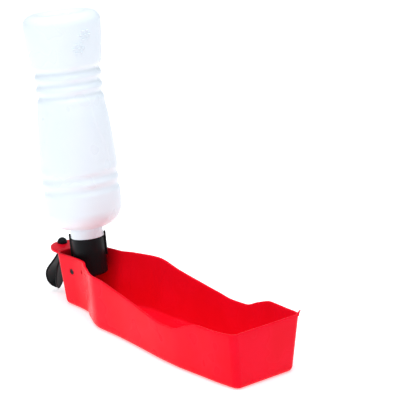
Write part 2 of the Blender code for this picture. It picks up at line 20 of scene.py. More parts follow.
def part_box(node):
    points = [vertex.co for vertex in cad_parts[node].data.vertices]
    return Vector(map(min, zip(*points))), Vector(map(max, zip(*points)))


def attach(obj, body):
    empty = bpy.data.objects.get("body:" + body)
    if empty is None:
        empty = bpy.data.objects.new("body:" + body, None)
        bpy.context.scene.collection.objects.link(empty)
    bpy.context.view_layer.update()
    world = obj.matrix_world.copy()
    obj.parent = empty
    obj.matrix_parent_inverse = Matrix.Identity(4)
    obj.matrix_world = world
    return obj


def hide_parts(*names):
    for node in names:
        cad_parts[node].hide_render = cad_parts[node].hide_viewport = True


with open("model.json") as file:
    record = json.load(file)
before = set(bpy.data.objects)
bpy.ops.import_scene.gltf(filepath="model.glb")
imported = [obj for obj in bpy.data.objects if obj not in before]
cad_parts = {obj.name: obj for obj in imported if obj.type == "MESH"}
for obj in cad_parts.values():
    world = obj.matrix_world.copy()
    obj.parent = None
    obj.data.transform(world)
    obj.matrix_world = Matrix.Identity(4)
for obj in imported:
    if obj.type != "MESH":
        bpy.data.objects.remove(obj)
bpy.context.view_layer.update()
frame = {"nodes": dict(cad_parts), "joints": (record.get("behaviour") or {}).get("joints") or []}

LOG = logging.getLogger("travel_bottle")

Pair = tuple[float, float]
Ring = list[Vector]
Colour = tuple[float, float, float]
Thing = bpy.types.Object
Group = bpy.types.NodeTree
Socket = bpy.types.NodeSocket

FIT_GAP = 0.0003
TIDY_DISTANCE = 1e-6
SEED_SIZE = 40 * TIDY_DISTANCE
SHARP_ANGLE = 40.0
PIN_OFFSET = 0.0046
THREAD_TURNS = 2.4
THREAD_HEIGHT = 0.0105


class Side(Enum):
    """The two sides of the trough, seen from behind its head."""

    NEAR = -1
    FAR = 1


class Slot(Enum):
    """The record's material slots."""

    RED = "trough_red"
    MILKY = "bottle_milky"
    BLACK = "fittings_black"
    GREY = "seal_grey"


# Curves and outlines


def smooth_at(points: Sequence[Pair], x: float) -> float:
    """Read a smooth curve that never overshoots its points.

    Args:
        points: (x, value) pairs, x rising.
        x: where to read it.

    Returns:
        The value there, held level past both ends.
    """
    xs = [p[0] for p in points]
    ys = [p[1] for p in points]
    slopes = [(ys[i + 1] - ys[i]) / (xs[i + 1] - xs[i]) for i in range(len(xs) - 1)]
    tangents = [0.0]
    for before, after in zip(slopes, slopes[1:]):
        rising = before * after > 0
        tangents.append(2 * before * after / (before + after) if rising else 0.0)
    tangents.append(0.0)
    x = min(max(x, xs[0]), xs[-1])
    i = max(i for i in range(len(xs) - 1) if xs[i] <= x)
    span = xs[i + 1] - xs[i]
    t = (x - xs[i]) / span
    return (
        (2 * t**3 - 3 * t**2 + 1) * ys[i]
        + (t**3 - 2 * t**2 + t) * span * tangents[i]
        + (3 * t**2 - 2 * t**3) * ys[i + 1]
        + (t**3 - t**2) * span * tangents[i + 1]
    )


def ease(low: float, high: float, x: float) -> float:
    """Rise smoothly from 0 at low to 1 at high."""
    t = min(max((x - low) / (high - low), 0.0), 1.0)
    return t * t * (3 - 2 * t)


def arc(centre: Pair, radii: Pair, start: float, end: float, steps: int) -> list[Pair]:
    """Points along an elliptical arc.

    Args:
        centre: its middle.
        radii: its two half axes.
        start: first angle in degrees.
        end: last angle in degrees.
        steps: how many stretches it is cut into.

    Returns:
        The steps + 1 points.
    """
    angles = [math.radians(start + (end - start) * k / steps) for k in range(steps + 1)]
    return [(centre[0] + radii[0] * math.cos(a), centre[1] + radii[1] * math.sin(a)) for a in angles]


def rounded(profile: Sequence[Pair], radius: float, steps: int = 4) -> list[Pair]:
    """Round the inner corners of an open profile.

    Args:
        profile: (radius, height) pairs.
        radius: how far each corner is cut back, at most 0.45 of the shorter leg.
        steps: stretches in each round.

    Returns:
        The profile with a short curve at each inner point.
    """
    made: list[Pair] = [profile[0]]
    for before, here, after in zip(profile, profile[1:], profile[2:]):
        p, q, r = Vector(before), Vector(here), Vector(after)
        cut = min(radius, 0.45 * (p - q).length, 0.45 * (r - q).length)
        start, end = q + (p - q).normalized() * cut, q + (r - q).normalized() * cut
        for k in range(steps + 1):
            t = k / steps
            point = start * (1 - t) ** 2 + q * (2 * t * (1 - t)) + end * t**2
            made.append((point.x, point.y))
    made.append(profile[-1])
    return made


# Meshes


def finish_mesh(name: str, shape: bmesh.types.BMesh, sharp: float = SHARP_ANGLE) -> Thing:
    """Turn a bmesh into an object with its faces out and smooth shading.

    Args:
        name: the piece's name.
        shape: the mesh, freed here.
        sharp: edges that turn more than this many degrees stay sharp.

    Returns:
        The linked object.
    """
    bmesh.ops.remove_doubles(shape, verts=shape.verts, dist=TIDY_DISTANCE)
    bmesh.ops.recalc_face_normals(shape, faces=shape.faces)
    if shape.calc_volume(signed=True) < 0:
        bmesh.ops.reverse_faces(shape, faces=shape.faces)
    mesh = bpy.data.meshes.new(name)
    shape.to_mesh(mesh)
    shape.free()
    mesh.shade_smooth()
    mesh.set_sharp_from_angle(angle=math.radians(sharp))
    made = bpy.data.objects.new(name, mesh)
    bpy.context.scene.collection.objects.link(made)
    return made


def skin(rings: Sequence[Ring], mirrored: bool = False) -> bmesh.types.BMesh:
    """Join rings of equal length and close both ends.

    Args:
        rings: the rings in order.
        mirrored: whether each ring's second half mirrors its first, so that strips across
            close the ends instead of a fan.

    Returns:
        The closed mesh.
    """
    shape = bmesh.new()
    made = [[shape.verts.new(point) for point in ring] for ring in rings]
    count = len(made[0])
    for lower, upper in zip(made, made[1:]):
        for i in range(count):
            j = (i + 1) % count
            shape.faces.new((lower[i], lower[j], upper[j], upper[i]))
    for ring in (made[0], made[-1]):
        if mirrored:
            for i in range(count // 2 - 1):
                shape.faces.new((ring[i], ring[i + 1], ring[count - 2 - i], ring[count - 1 - i]))
            continue
        middle = shape.verts.new(sum((v.co for v in ring), Vector()) / count)
        for i in range(count):
            shape.faces.new((ring[i], ring[(i + 1) % count], middle))
    return shape


def seeds(spots: Sequence[tuple[Vector, Vector, Vector]]) -> bpy.types.Mesh:
    """Tiny triangles, one for each dome that grows.

    Args:
        spots: each one's corner and the ways to its second and third corners.

    Returns:
        The mesh.
    """
    shape = bmesh.new()
    for corner, second, third in spots:
        points = (corner, corner + second * SEED_SIZE, corner + third * SEED_SIZE)
        shape.faces.new([shape.verts.new(point) for point in points])
    made = bpy.data.meshes.new("seeds")
    shape.to_mesh(made)
    shape.free()
    return made


def turned(name: str, profile: Sequence[Pair], place: Matrix, steps: int = 96) -> Thing:
    """Turn a profile about local Z.

    Args:
        name: the piece's name.
        profile: (radius, height) pairs. Where the first isn't on the axis, the last joins it.
        place: where local Z goes.
        steps: how many facets go round.

    Returns:
        The object, with its place in its mesh.
    """
    shape = bmesh.new()
    line = [shape.verts.new((r, 0.0, z)) for r, z in profile]
    loop = line[1:] + ([] if profile[0][0] == 0.0 else [line[0]])
    edges = [shape.edges.new(pair) for pair in zip(line, loop)]
    about = {"cent": (0, 0, 0), "axis": (0, 0, 1), "angle": math.tau}
    bmesh.ops.spin(shape, geom=line + edges, steps=steps, use_merge=True, **about)
    shape.transform(place)
    return finish_mesh(name, shape)


def rod(name: str, radius: float, start: Vector, end: Vector, steps: int = 48) -> Thing:
    """A plain round cutter between two points.

    Args:
        name: its name.
        radius: its radius.
        start: the middle of one end.
        end: the middle of the other.
        steps: how many facets go round.

    Returns:
        The object.
    """
    turn = (end - start).to_track_quat("Z", "Y").to_matrix().to_4x4()
    length = (end - start).length
    profile = [(0.0, length), (radius, length), (radius, 0.0), (0.0, 0.0)]
    return turned(name, profile, Matrix.Translation(start) @ turn, steps)


def plate(
    name: str, outline: Callable[[float], Sequence[Pair]], low: float, high: float, edge: float
) -> Thing:
    """A flat plate with rounded edges.

    Args:
        name: the piece's name.
        outline: gives the (x, y) outline for an inset.
        low: height of its under side.
        high: height of its top.
        edge: radius of its edges.

    Returns:
        The object.
    """
    levels = [(edge - r, low + edge + z) for r, z in arc((0, 0), (edge, edge), 270, 360, 4)]
    levels += [(edge - r, high - edge + z) for r, z in arc((0, 0), (edge, edge), 0, 90, 4)]
    rings = [[Vector((x, y, z)) for x, y in outline(inset)] for inset, z in levels]
    return finish_mesh(name, skin(rings))


def soften(
    shape: bmesh.types.BMesh, edges: Sequence[bmesh.types.BMEdge], radius: float, **how: bool
) -> None:
    """Round edges."""
    bmesh.ops.bevel(
        shape, geom=edges, offset=radius, segments=3, affect="EDGES", profile=0.5, **how
    )


def block(low: Vector, high: Vector, place: Matrix, edge: float, name: str) -> Thing:
    """A block with rounded edges, given by two corners in a local frame.

    Args:
        low: its low corner.
        high: its high corner.
        place: where the local frame goes.
        edge: radius of its edges.
        name: the piece's name.

    Returns:
        The object.
    """
    shape = bmesh.new()
    bmesh.ops.create_cube(shape, size=1.0)
    size = Matrix.Diagonal((*(high - low), 1.0))
    shape.transform(Matrix.Translation((low + high) / 2) @ size)
    soften(shape, shape.edges[:], edge, clamp_overlap=True)
    shape.transform(place)
    return finish_mesh(name, shape)


def settle(piece: Thing) -> Thing:
    """Apply a piece's modifiers, so that a plain mesh is left.

    Args:
        piece: the piece.

    Returns:
        The same piece.
    """
    graph = bpy.context.evaluated_depsgraph_get()
    made = bpy.data.meshes.new_from_object(piece.evaluated_get(graph))
    piece.modifiers.clear()
    old = piece.data
    piece.data = made
    made.name = piece.name
    bpy.data.meshes.remove(old)
    return piece


def combine(piece: Thing, tools: Sequence[Thing], operation: str) -> Thing:
    """Join tools to a piece or cut them from it, and remove the tools.

    Args:
        piece: the piece that stays.
        tools: closed meshes.
        operation: UNION or DIFFERENCE.

    Returns:
        The piece, with a plain mesh.
    """
    for tool in tools:
        step = piece.modifiers.new(tool.name, "BOOLEAN")
        step.operation = operation
        step.solver = "EXACT"
        step.object = tool
    settle(piece)
    for tool in tools:
        bpy.data.objects.remove(tool, do_unlink=True)
    piece.data.shade_smooth()
    piece.data.set_sharp_from_angle(angle=math.radians(SHARP_ANGLE))
    return piece


# Node trees


class Tree:
    """A short way to write a node tree."""

    def __init__(self, tree: Group) -> None:
        """Start on a tree, with the nodes it has."""
        self.tree = tree

    def add(self, kind: str, **settings: object) -> bpy.types.Node:
        """Add a node.

        Args:
            kind: its bl_idname.
            **settings: its own properties, and its sockets as the name with _ for a space.

        Returns:
            The node. A socket given another node, for its first output, or an output is linked.
        """
        node = self.tree.nodes.new(kind)
        for key, value in settings.items():
            if hasattr(node, key) and key not in ("inputs", "outputs"):
                setattr(node, key, value)
                continue
            name = int(key[1:]) if key[1:].isdigit() else key.replace("_", " ")
            self.feed(node.inputs[name], value)
        return node

    def feed(self, socket: Socket, value: object) -> None:
        """Link a node or an output to a socket, or set the socket to a value.

        Args:
            socket: the input.
            value: a node, an output or a plain value.
        """
        if isinstance(value, bpy.types.Node):
            value = value.outputs[0]
        if isinstance(value, Socket):
            self.tree.links.new(value, socket)
        else:
            socket.default_value = value

    def math(self, operation: str, a: object, b: object = 0.0) -> Socket:
        """One Math node's result."""
        return self.add("ShaderNodeMath", operation=operation, i0=a, i1=b).outputs[0]

    def spread(self, value: object, low: float, high: float, to: Pair = (0.0, 1.0)) -> Socket:
        """Map a value from low..high to another range, held at its ends."""
        ends = {"From_Min": low, "From_Max": high, "To_Min": to[0], "To_Max": to[1]}
        return self.add("ShaderNodeMapRange", clamp=True, Value=value, **ends).outputs[0]

    def mix(self, share: object, a: object, b: object) -> Socket:
        """Blend two colours.

        Args:
            share: how much of b shows.
            a: the first colour.
            b: the second colour.

        Returns:
            The blended colour.
        """
        node = self.add("ShaderNodeMix", data_type="RGBA")
        for index, value in ((0, share), (6, a), (7, b)):
            self.feed(node.inputs[index], value)
        return node.outputs[2]


def new_group(
    name: str,
    kind: str,
    inputs: Sequence[tuple[str, str, object]],
    outputs: Sequence[tuple[str, str]],
) -> tuple[Tree, bpy.types.Node, bpy.types.Node]:
    """Make an empty node group with named sockets.

    Args:
        name: the group's name.
        kind: ShaderNodeTree or GeometryNodeTree.
        inputs: (name, socket type, default or None) for each input.
        outputs: (name, socket type) for each output.

    Returns:
        The tree, its input node and its output node.
    """
    group = bpy.data.node_groups.new(name, kind)
    for title, socket_type, default in inputs:
        socket = group.interface.new_socket(title, in_out="INPUT", socket_type=socket_type)
        if default is not None:
            socket.default_value = default
    for title, socket_type in outputs:
        group.interface.new_socket(title, in_out="OUTPUT", socket_type=socket_type)
    tree = Tree(group)
    return tree, tree.add("NodeGroupInput"), tree.add("NodeGroupOutput")


FLOAT = "NodeSocketFloat"
SHAPE = "NodeSocketGeometry"
STUFF = "NodeSocketMaterial"


def grain_group() -> Group:
    """The fine surface of a moulding: spark-eroded grain over slow waviness.

    Returns:
        The group.
    """
    tree, given, out = new_group(
        "moulded_grain",
        "ShaderNodeTree",
        [("Grain Scale", FLOAT, 1500.0), ("Wave Scale", FLOAT, 60.0), ("Grain Share", FLOAT, 0.5)],
        [("Height", FLOAT), ("Tone", FLOAT)],
    )
    place = tree.add("ShaderNodeTexCoord").outputs["Object"]
    scale, wave_scale, share = given.outputs[:3]
    grain = tree.add("ShaderNodeTexNoise", Vector=place, Scale=scale, Detail=2.0, Roughness=0.6)
    wave = tree.add("ShaderNodeTexNoise", Vector=place, Scale=wave_scale, Detail=1.0)
    fine = tree.math("MULTIPLY", grain, share)
    slow = tree.math("MULTIPLY", wave, tree.math("SUBTRACT", 1.0, share))
    tree.tree.links.new(tree.math("ADD", fine, slow), out.inputs["Height"])
    tree.tree.links.new(wave.outputs[0], out.inputs["Tone"])
    return tree.tree


def wear_group() -> Group:
    """Handling marks: hair scratches in two directions, only where a slow patch allows them.

    Returns:
        The group.
    """
    tree, given, out = new_group(
        "handling_wear",
        "ShaderNodeTree",
        [("Scratch Scale", FLOAT, 900.0), ("Patch Scale", FLOAT, 40.0), ("Amount", FLOAT, 0.5)],
        [("Mask", FLOAT)],
    )
    place = tree.add("ShaderNodeTexCoord").outputs["Object"]
    scale, patch_scale, amount = given.outputs[:3]
    marks = []
    for turn, squash in (((0.3, 0.2, 0.5), (0.04, 1.0, 1.0)), ((1.2, 0.9, 2.1), (1.0, 0.05, 1.0))):
        along = tree.add("ShaderNodeMapping", Vector=place, Rotation=turn, Scale=squash)
        hair = tree.add("ShaderNodeTexNoise", Vector=along, Scale=scale, Detail=3.0, Roughness=0.7)
        marks.append(tree.spread(hair, 0.66, 0.74))
    patch = tree.add("ShaderNodeTexNoise", Vector=place, Scale=patch_scale, Detail=2.0)
    allowed = tree.spread(patch, 0.50, 0.72)
    both = tree.math("MAXIMUM", marks[0], marks[1])
    shown = tree.math("MULTIPLY", tree.math("MULTIPLY", both, allowed), amount)
    tree.tree.links.new(shown, out.inputs["Mask"])
    return tree.tree


@dataclass(frozen=True)
class Plastic:
    """A moulded plastic or rubber: its colour, sheen, grain, how it has been handled, and a painted
    glow in its own colour.
    """

    name: str
    slot: Slot
    colour: Colour
    deep: Colour
    scuffed: Colour
    roughness: Pair
    grain_scale: float
    grain_share: float
    bump: float
    wave_scale: float = 45.0
    wear: float = 0.5
    coat: float = 0.0
    sheen: float = 0.5
    sheen_tint: Colour = (1.0, 1.0, 1.0)
    # Strength of a painted glow: the finish emits its own colour, which brightens it beyond what the
    # lamps give.
    painted_glow: float = 0.0
    clear: float = 0.0

    def material(self, groups: dict[str, Group]) -> bpy.types.Material:
        """Build the material.

        Args:
            groups: the shared effects by name.

        Returns:
            A Principled material whose colour, roughness and bump vary over the surface.
        """
        made = bpy.data.materials.new(self.name)
        made.use_nodes = True
        shader = made.node_tree.nodes["Principled BSDF"]
        tree = Tree(made.node_tree)
        scales = {"Grain_Scale": self.grain_scale, "Wave_Scale": self.wave_scale}
        share = {"Grain_Share": self.grain_share}
        grain = tree.add("ShaderNodeGroup", node_tree=groups["grain"], **scales, **share)
        wear = tree.add("ShaderNodeGroup", node_tree=groups["wear"], Amount=self.wear)
        tone = tree.spread(grain.outputs["Tone"], 0.35, 0.65)
        plain = tree.mix(tone, (*self.colour, 1.0), (*self.deep, 1.0))
        colour = tree.mix(wear.outputs["Mask"], plain, (*self.scuffed, 1.0))
        polish = tree.spread(grain.outputs["Tone"], 0.3, 0.7, self.roughness)
        rough = tree.math("ADD", polish, tree.math("MULTIPLY", wear.outputs["Mask"], 0.25))
        height = grain.outputs["Height"]
        settings = {
            "Base Color": colour,
            "Roughness": rough,
            "Normal": tree.add("ShaderNodeBump", Strength=self.bump, Distance=0.0004, Height=height),
            "Coat Weight": self.coat,
            "Coat Roughness": 0.12,
            "Specular IOR Level": self.sheen,
            "Specular Tint": (*self.sheen_tint, 1.0),
            # Painted glow: the surface emits its own colour at the painted glow strength.
            "Emission Color": (*self.colour, 1.0),
            "Emission Strength": self.painted_glow,
            "Transmission Weight": self.clear,
            "IOR": 1.47,
        }
        for socket, value in settings.items():
            tree.feed(shader.inputs[socket], value)
        made.diffuse_color = (*self.colour, 1.0)
        return made


RED = Plastic(
    "red_polypropylene", Slot.RED, colour=(0.96, 0.005, 0.022), deep=(0.92, 0.004, 0.016),
    scuffed=(0.98, 0.08, 0.10), roughness=(0.24, 0.34), grain_scale=1400.0, grain_share=0.6,
    bump=0.03, wear=0.08, sheen=0.08, sheen_tint=(1.0, 0.5, 1.0),
)
# The bottle's finish carries a painted glow: it emits its own milky colour, which brightens it beyond
# the lamps.
MILKY = Plastic(
    "milky_polyethylene", Slot.MILKY, colour=(0.84, 0.90, 0.945), deep=(0.82, 0.885, 0.935),
    scuffed=(0.95, 0.97, 0.98), roughness=(0.26, 0.36), grain_scale=700.0, grain_share=0.3,
    bump=0.03, wear=0.05, coat=0.08, painted_glow=0.08, clear=0.04,
)
BLACK = Plastic(
    "black_nylon", Slot.BLACK, colour=(0.008, 0.010, 0.011), deep=(0.005, 0.006, 0.007),
    scuffed=(0.10, 0.11, 0.11), roughness=(0.34, 0.46), grain_scale=2200.0, grain_share=0.75,
    bump=0.12, wear=0.15, sheen=0.15,
)
GREY = Plastic(
    "grey_rubber", Slot.GREY, colour=(0.10, 0.10, 0.11), deep=(0.07, 0.07, 0.08),
    scuffed=(0.22, 0.22, 0.23), roughness=(0.62, 0.78), grain_scale=2600.0, grain_share=0.7,
    bump=0.15,
)


@dataclass
class Workshop:
    """Dresses finished pieces and hands them to the frame."""

    materials: dict[Slot, bpy.types.Material] = field(default_factory=dict)

    def stock(self, finishes: Sequence[Plastic]) -> None:
        """Build the shared effects once and a material for each finish.

        Args:
            finishes: every finish in use.
        """
        groups = {"grain": grain_group(), "wear": wear_group()}
        for finish in finishes:
            self.materials[finish.slot] = finish.material(groups)

    def hand_over(
        self, piece: Thing, slot: Slot, body: str, replaces: Optional[str] = None
    ) -> Thing:
        """Give a piece its finish and its body, and hide the CAD node it stands for.

        Args:
            piece: the finished piece, with its place in its mesh.
            slot: the finish it takes.
            body: the CAD body it moves with.
            replaces: the CAD node it stands for, if any.

        Returns:
            The piece.
        """
        piece.data.materials.clear()
        piece.data.materials.append(self.materials[slot])
        for face in piece.data.polygons:
            face.material_index = 0
        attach(piece, body)
        if replaces:
            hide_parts(replaces)
        LOG.info("%s: %d faces on %s", piece.name, len(piece.data.polygons), body)
        return piece

    def thread(
        self, name: str, group: Group, slot: Slot, body: str, radii: Pair, place: Matrix
    ) -> None:
        """Grow a screw thread and hand it over.

        Args:
            name: the piece's name.
            group: the tree of the helix.
            slot: the finish it takes.
            body: the CAD body it moves with.
            radii: the helix's radius and its ridge's.
            place: where it starts.
        """
        values = {
            "Turns": THREAD_TURNS,
            "Radius": radii[0],
            "Height": THREAD_HEIGHT,
            "Ridge": radii[1],
            "Finish": self.materials[slot],
        }
        self.hand_over(grown(name, group, values, place), slot, body)


# Geometry Nodes


def helix_group() -> Group:
    """A round ridge that climbs in a helix about Z.

    Returns:
        The group.
    """
    tree, given, out = new_group(
        "screw_ridge",
        "GeometryNodeTree",
        [
            ("Turns", FLOAT, 2.0),
            ("Radius", FLOAT, 0.01),
            ("Height", FLOAT, 0.01),
            ("Ridge", FLOAT, 0.0005),
            ("Finish", STUFF, None),
        ],
        [("Geometry", SHAPE)],
    )
    turns, radius, height, thickness, finish = given.outputs[:5]
    ends = {"Start_Radius": radius, "End_Radius": radius, "Height": height}
    path = tree.add("GeometryNodeCurveSpiral", Resolution=48, Rotations=turns, **ends)
    ridge = tree.add("GeometryNodeCurvePrimitiveCircle", Resolution=10, Radius=thickness)
    swept = tree.add("GeometryNodeCurveToMesh", Curve=path, Profile_Curve=ridge, Fill_Caps=True)
    finish_tree(tree, swept, finish, out)
    return tree.tree


def pip_group() -> Group:
    """A small dome at each given point, stretched along its own axes.

    Returns:
        The group.
    """
    tree, given, out = new_group(
        "raised_pips",
        "GeometryNodeTree",
        [
            ("Points", SHAPE, None),
            ("Radius", FLOAT, 0.001),
            ("Stretch", "NodeSocketVector", (1.0, 1.0, 1.0)),
            ("Finish", STUFF, None),
        ],
        [("Geometry", SHAPE)],
    )
    points, radius, stretch, finish = given.outputs[:4]
    dome = tree.add("GeometryNodeMeshUVSphere", Segments=20, Rings=10, Radius=radius)
    normal = tree.add("GeometryNodeInputNormal")
    turn = tree.add("FunctionNodeAlignRotationToVector", axis="Z", Vector=normal)
    spots = tree.add("GeometryNodeMeshToPoints", Mesh=points)
    placed = tree.add("GeometryNodeInstanceOnPoints", Points=spots, Instance=dome, Scale=stretch)
    tree.feed(placed.inputs["Rotation"], turn)
    finish_tree(tree, placed, finish, out)
    return tree.tree


def finish_tree(tree: Tree, shape: bpy.types.Node, finish: Socket, out: bpy.types.Node) -> None:
    """End a tree in real, smooth faces that carry their finish.

    Args:
        tree: the tree.
        shape: the node that makes the shape.
        finish: its material.
        out: the group's output node.
    """
    real = tree.add("GeometryNodeRealizeInstances", Geometry=shape)
    smooth = tree.add("GeometryNodeSetShadeSmooth", Geometry=real)
    dressed = tree.add("GeometryNodeSetMaterial", Geometry=smooth, Material=finish)
    tree.feed(out.inputs[0], dressed)


def grown(
    name: str,
    group: Group,
    values: dict[str, object],
    place: Matrix,
    base: Optional[bpy.types.Mesh] = None,
) -> Thing:
    """Run a Geometry Nodes tree and keep its result as a plain mesh.

    Args:
        name: the piece's name.
        group: the tree.
        values: its inputs by name.
        place: where the result goes.
        base: the mesh it starts from, if it needs one.

    Returns:
        The object, with its place in its mesh.
    """
    made = bpy.data.objects.new(name, base or bpy.data.meshes.new(name))
    bpy.context.scene.collection.objects.link(made)
    step = made.modifiers.new("grow", "NODES")
    step.node_group = group
    for item in group.interface.items_tree:
        if item.in_out == "INPUT" and item.name in values:
            step[item.identifier] = values[item.name]
    settle(made)
    made.data.transform(place)
    return made


# The trough


@dataclass
class Trough:
    """The red moulding: a narrow head, a wide basin, a tongue behind and a nib at the front."""

    pin_x: float
    pin_height: float
    front: float
    wall: float = 0.0020
    rim: float = 0.0506
    back_rim: float = 0.0484
    side_draft: float = 0.120
    back_slope: float = 0.10
    back_x: float = -0.020947
    shoulder_x: float = 0.0553
    crease_x: float = 0.0190
    nest_half: float = 0.037881
    head_half: float = 0.020033
    crease_extra: float = 0.0018
    foot_fillet: float = 0.0044
    back_corner: float = 0.0056
    front_corner: float = 0.0068
    front_draft: float = 0.010
    rim_round: float = 0.0008
    station_step: float = 0.0021
    tongue_half: float = 0.0170
    tongue_length: float = 0.0217
    tongue_thickness: float = 0.0024
    tongue_below_rim: float = 0.0004
    stud_inset: float = 0.0062
    stud_hole: float = 0.0023
    pin_hole: float = 0.0027
    plan: tuple[Pair, ...] = (
        (0.0, 0.0), (0.12, -0.0003), (0.31, 0.0013), (0.49, 0.0034), (0.67, 0.0042),
        (0.85, 0.0030), (1.0, 0.0006),
    )
    drops: tuple[Pair, ...] = (
        (0.0, 0.0008), (0.15, 0.0050), (0.30, 0.0092), (0.42, 0.0126), (0.505, 0.0148),
        (0.60, 0.0143), (0.69, 0.0079), (0.78, 0.0029), (0.87, 0.0026), (1.0, 0.0013),
    )

    def share(self, x: float) -> float:
        """How far along the basin a station lies, from 0 to 1."""
        return min(max((x - self.shoulder_x) / (self.front - self.shoulder_x), 0.0), 1.0)

    def half_width(self, x: float) -> float:
        """The outer half width at the rim.

        Args:
            x: the station, from the pins forwards.

        Returns:
            Half the width in metres.
        """
        if x >= self.shoulder_x:
            return self.nest_half + smooth_at(self.plan, self.share(x))
        crease = self.head_half + self.crease_extra
        run = self.shoulder_x - self.crease_x
        bulge = (
            (self.back_x, self.head_half),
            (0.0, self.head_half),
            (self.crease_x, crease),
            (self.crease_x + 0.3 * run, crease + 0.4 * (self.nest_half - crease)),
            (self.shoulder_x, self.nest_half),
        )
        return smooth_at(bulge, x)

    def rim_height(self, x: float) -> float:
        """The rim's height at a station.

        Args:
            x: the station, from the pins forwards.

        Returns:
            The height in metres.
        """
        if x >= self.shoulder_x:
            return self.rim - smooth_at(self.drops, self.share(x))
        front = (self.shoulder_x, self.rim - self.drops[0][1])
        return smooth_at(((self.back_x, self.back_rim), (self.crease_x, self.rim), front), x)

    def outline(self) -> list[Pair]:
        """The rim's outline: the far side from back to front, then the near side back again.

        Returns:
            The (x, y) points.
        """
        back = (self.back_x + self.back_corner, self.half_width(self.back_x) - self.back_corner)
        front = (self.front - self.front_corner, self.half_width(self.front) - self.front_corner)
        sides = round((front[0] - back[0]) / self.station_step)
        step = (front[0] - back[0]) / sides
        stations = [back[0] + k * step for k in range(1, sides)]
        half = arc(back, (self.back_corner,) * 2, 180, 90, 10)
        half += [(x, self.half_width(x)) for x in stations]
        half += arc(front, (self.front_corner,) * 2, 90, 0, 12)
        return half + [(x, -y) for x, y in reversed(half)]

    def end_pull(self, x: float) -> float:
        """How far the raked end walls carry a station inwards, per metre below the rim.

        Args:
            x: the station, from the pins forwards.

        Returns:
            The pull, forwards where positive.
        """
        start = self.back_x + self.back_corner
        back = self.back_slope * min(1.0, max(0.0, 1.0 - (x - start) / (self.crease_x - start)))
        return back - self.front_draft * min(1.0, self.share(x + self.front_corner))

    def ring(self, inset: float, level: Callable[[float], float], pull_in: float = 0.0) -> Ring:
        """One ring of the skin.

        Args:
            inset: distance inside the rim's outline.
            level: gives the height for a station's rim height.
            pull_in: how far a floor ring is drawn towards the middle.

        Returns:
            The ring, in the row's own frame.
        """
        points = self.outline()
        made: Ring = []
        for i, (x, y) in enumerate(points):
            (ax, ay), (bx, by) = points[i - 1], points[(i + 1) % len(points)]
            length = math.hypot(bx - ax, by - ay)
            nx, ny = -(by - ay) / length, (bx - ax) / length
            rim = self.rim_height(x)
            z = level(rim)
            depth = rim - z
            shift_y = math.copysign(self.side_draft * depth + pull_in, y)
            end = (x > self.front - self.front_corner) - (x < self.back_x + self.back_corner)
            shift_x = self.end_pull(x) * depth - end * pull_in
            made.append(Vector((self.pin_x + x - nx * inset + shift_x, y - ny * inset - shift_y, z)))
        return made

    def shell(self) -> Thing:
        """The open moulding: outer skin, rounded rim, inner skin and a step in the floor.

        Returns:
            The object.
        """
        low, top, wall = self.foot_fillet, self.rim_round, self.wall
        corner, fillet = (low, low), low - wall
        shares = (0.15, 0.3, 0.45, 0.6, 0.75, 0.9)

        def bend(points: Sequence[Pair], follow: float) -> list[Ring]:
            """Rings at (inset, height) points, level at 0 or following the rim at 1."""
            return [self.ring(r, lambda rim, z=z: follow * rim + z) for r, z in points]

        def face(inset: float, order: Sequence[float]) -> list[Ring]:
            """Rings along one face of the wall."""
            return [self.ring(inset, lambda rim, s=s: low + s * (rim - top - low)) for s in order]

        rings = [self.ring(low, lambda rim: 0.0005, 0.0022), self.ring(low, lambda rim: 0.0, 0.0014)]
        rings += bend(arc(corner, corner, 270, 180, 10), 0.0) + face(0.0, shares)
        rings += bend(arc((top, -top), (top, top), 180, 90, 5), 1.0)
        rings += bend(arc((wall - top, -top), (top, top), 90, 0, 5), 1.0)
        rings += face(wall, shares[::-1]) + bend(arc(corner, (fillet, fillet), 180, 270, 8), 0.0)
        rings.append(self.ring(low, lambda rim: wall, 0.0012))
        rings.append(self.ring(low, lambda rim: wall - 0.0004, 0.0018))
        return finish_mesh("trough_moulding", skin(rings, mirrored=True))

    def tongue_outline(self, inset: float) -> list[Pair]:
        """A D that runs back from inside the back wall.

        Args:
            inset: distance inside its edge.

        Returns:
            The (x, y) points.
        """
        radius = self.tongue_half - inset
        root = self.pin_x + self.back_x + self.wall * 0.6
        tip = self.pin_x + self.back_x - self.tongue_length
        bow = arc((tip + self.tongue_half, 0.0), (radius, radius), 90, 270, 40)
        return [(root, -radius), (root, radius)] + bow

    def tongue(self) -> Thing:
        """The tongue behind the head."""
        high = self.back_rim - self.tongue_below_rim
        return plate("tongue", self.tongue_outline, high - self.tongue_thickness, high, 0.0006)

    def nib(self) -> Thing:
        """The small hook at the far front corner, bent outwards.

        Returns:
            The object.
        """
        corner = Vector((self.pin_x + self.front - 0.0016, self.half_width(self.front) - 0.0030, 0.0))
        out = Vector((0.55, 0.35, 0.0))
        rings = []
        for share in (0.0, 0.2, 0.4, 0.6, 0.8, 0.93, 1.0):
            middle = corner + out * (0.0028 * share**2)
            middle.z = self.rim_height(self.front) - 0.0018 + 0.0052 * share
            size = 0.0011 * (1.0 - 0.45 * share) * (0.55 if share == 1.0 else 1.0)
            round_it = arc((0, 0), (size, size), 0, 330, 11)
            rings.append([middle + Vector((x, y, 0.0)) for x, y in round_it])
        return finish_mesh("nib", skin(rings))

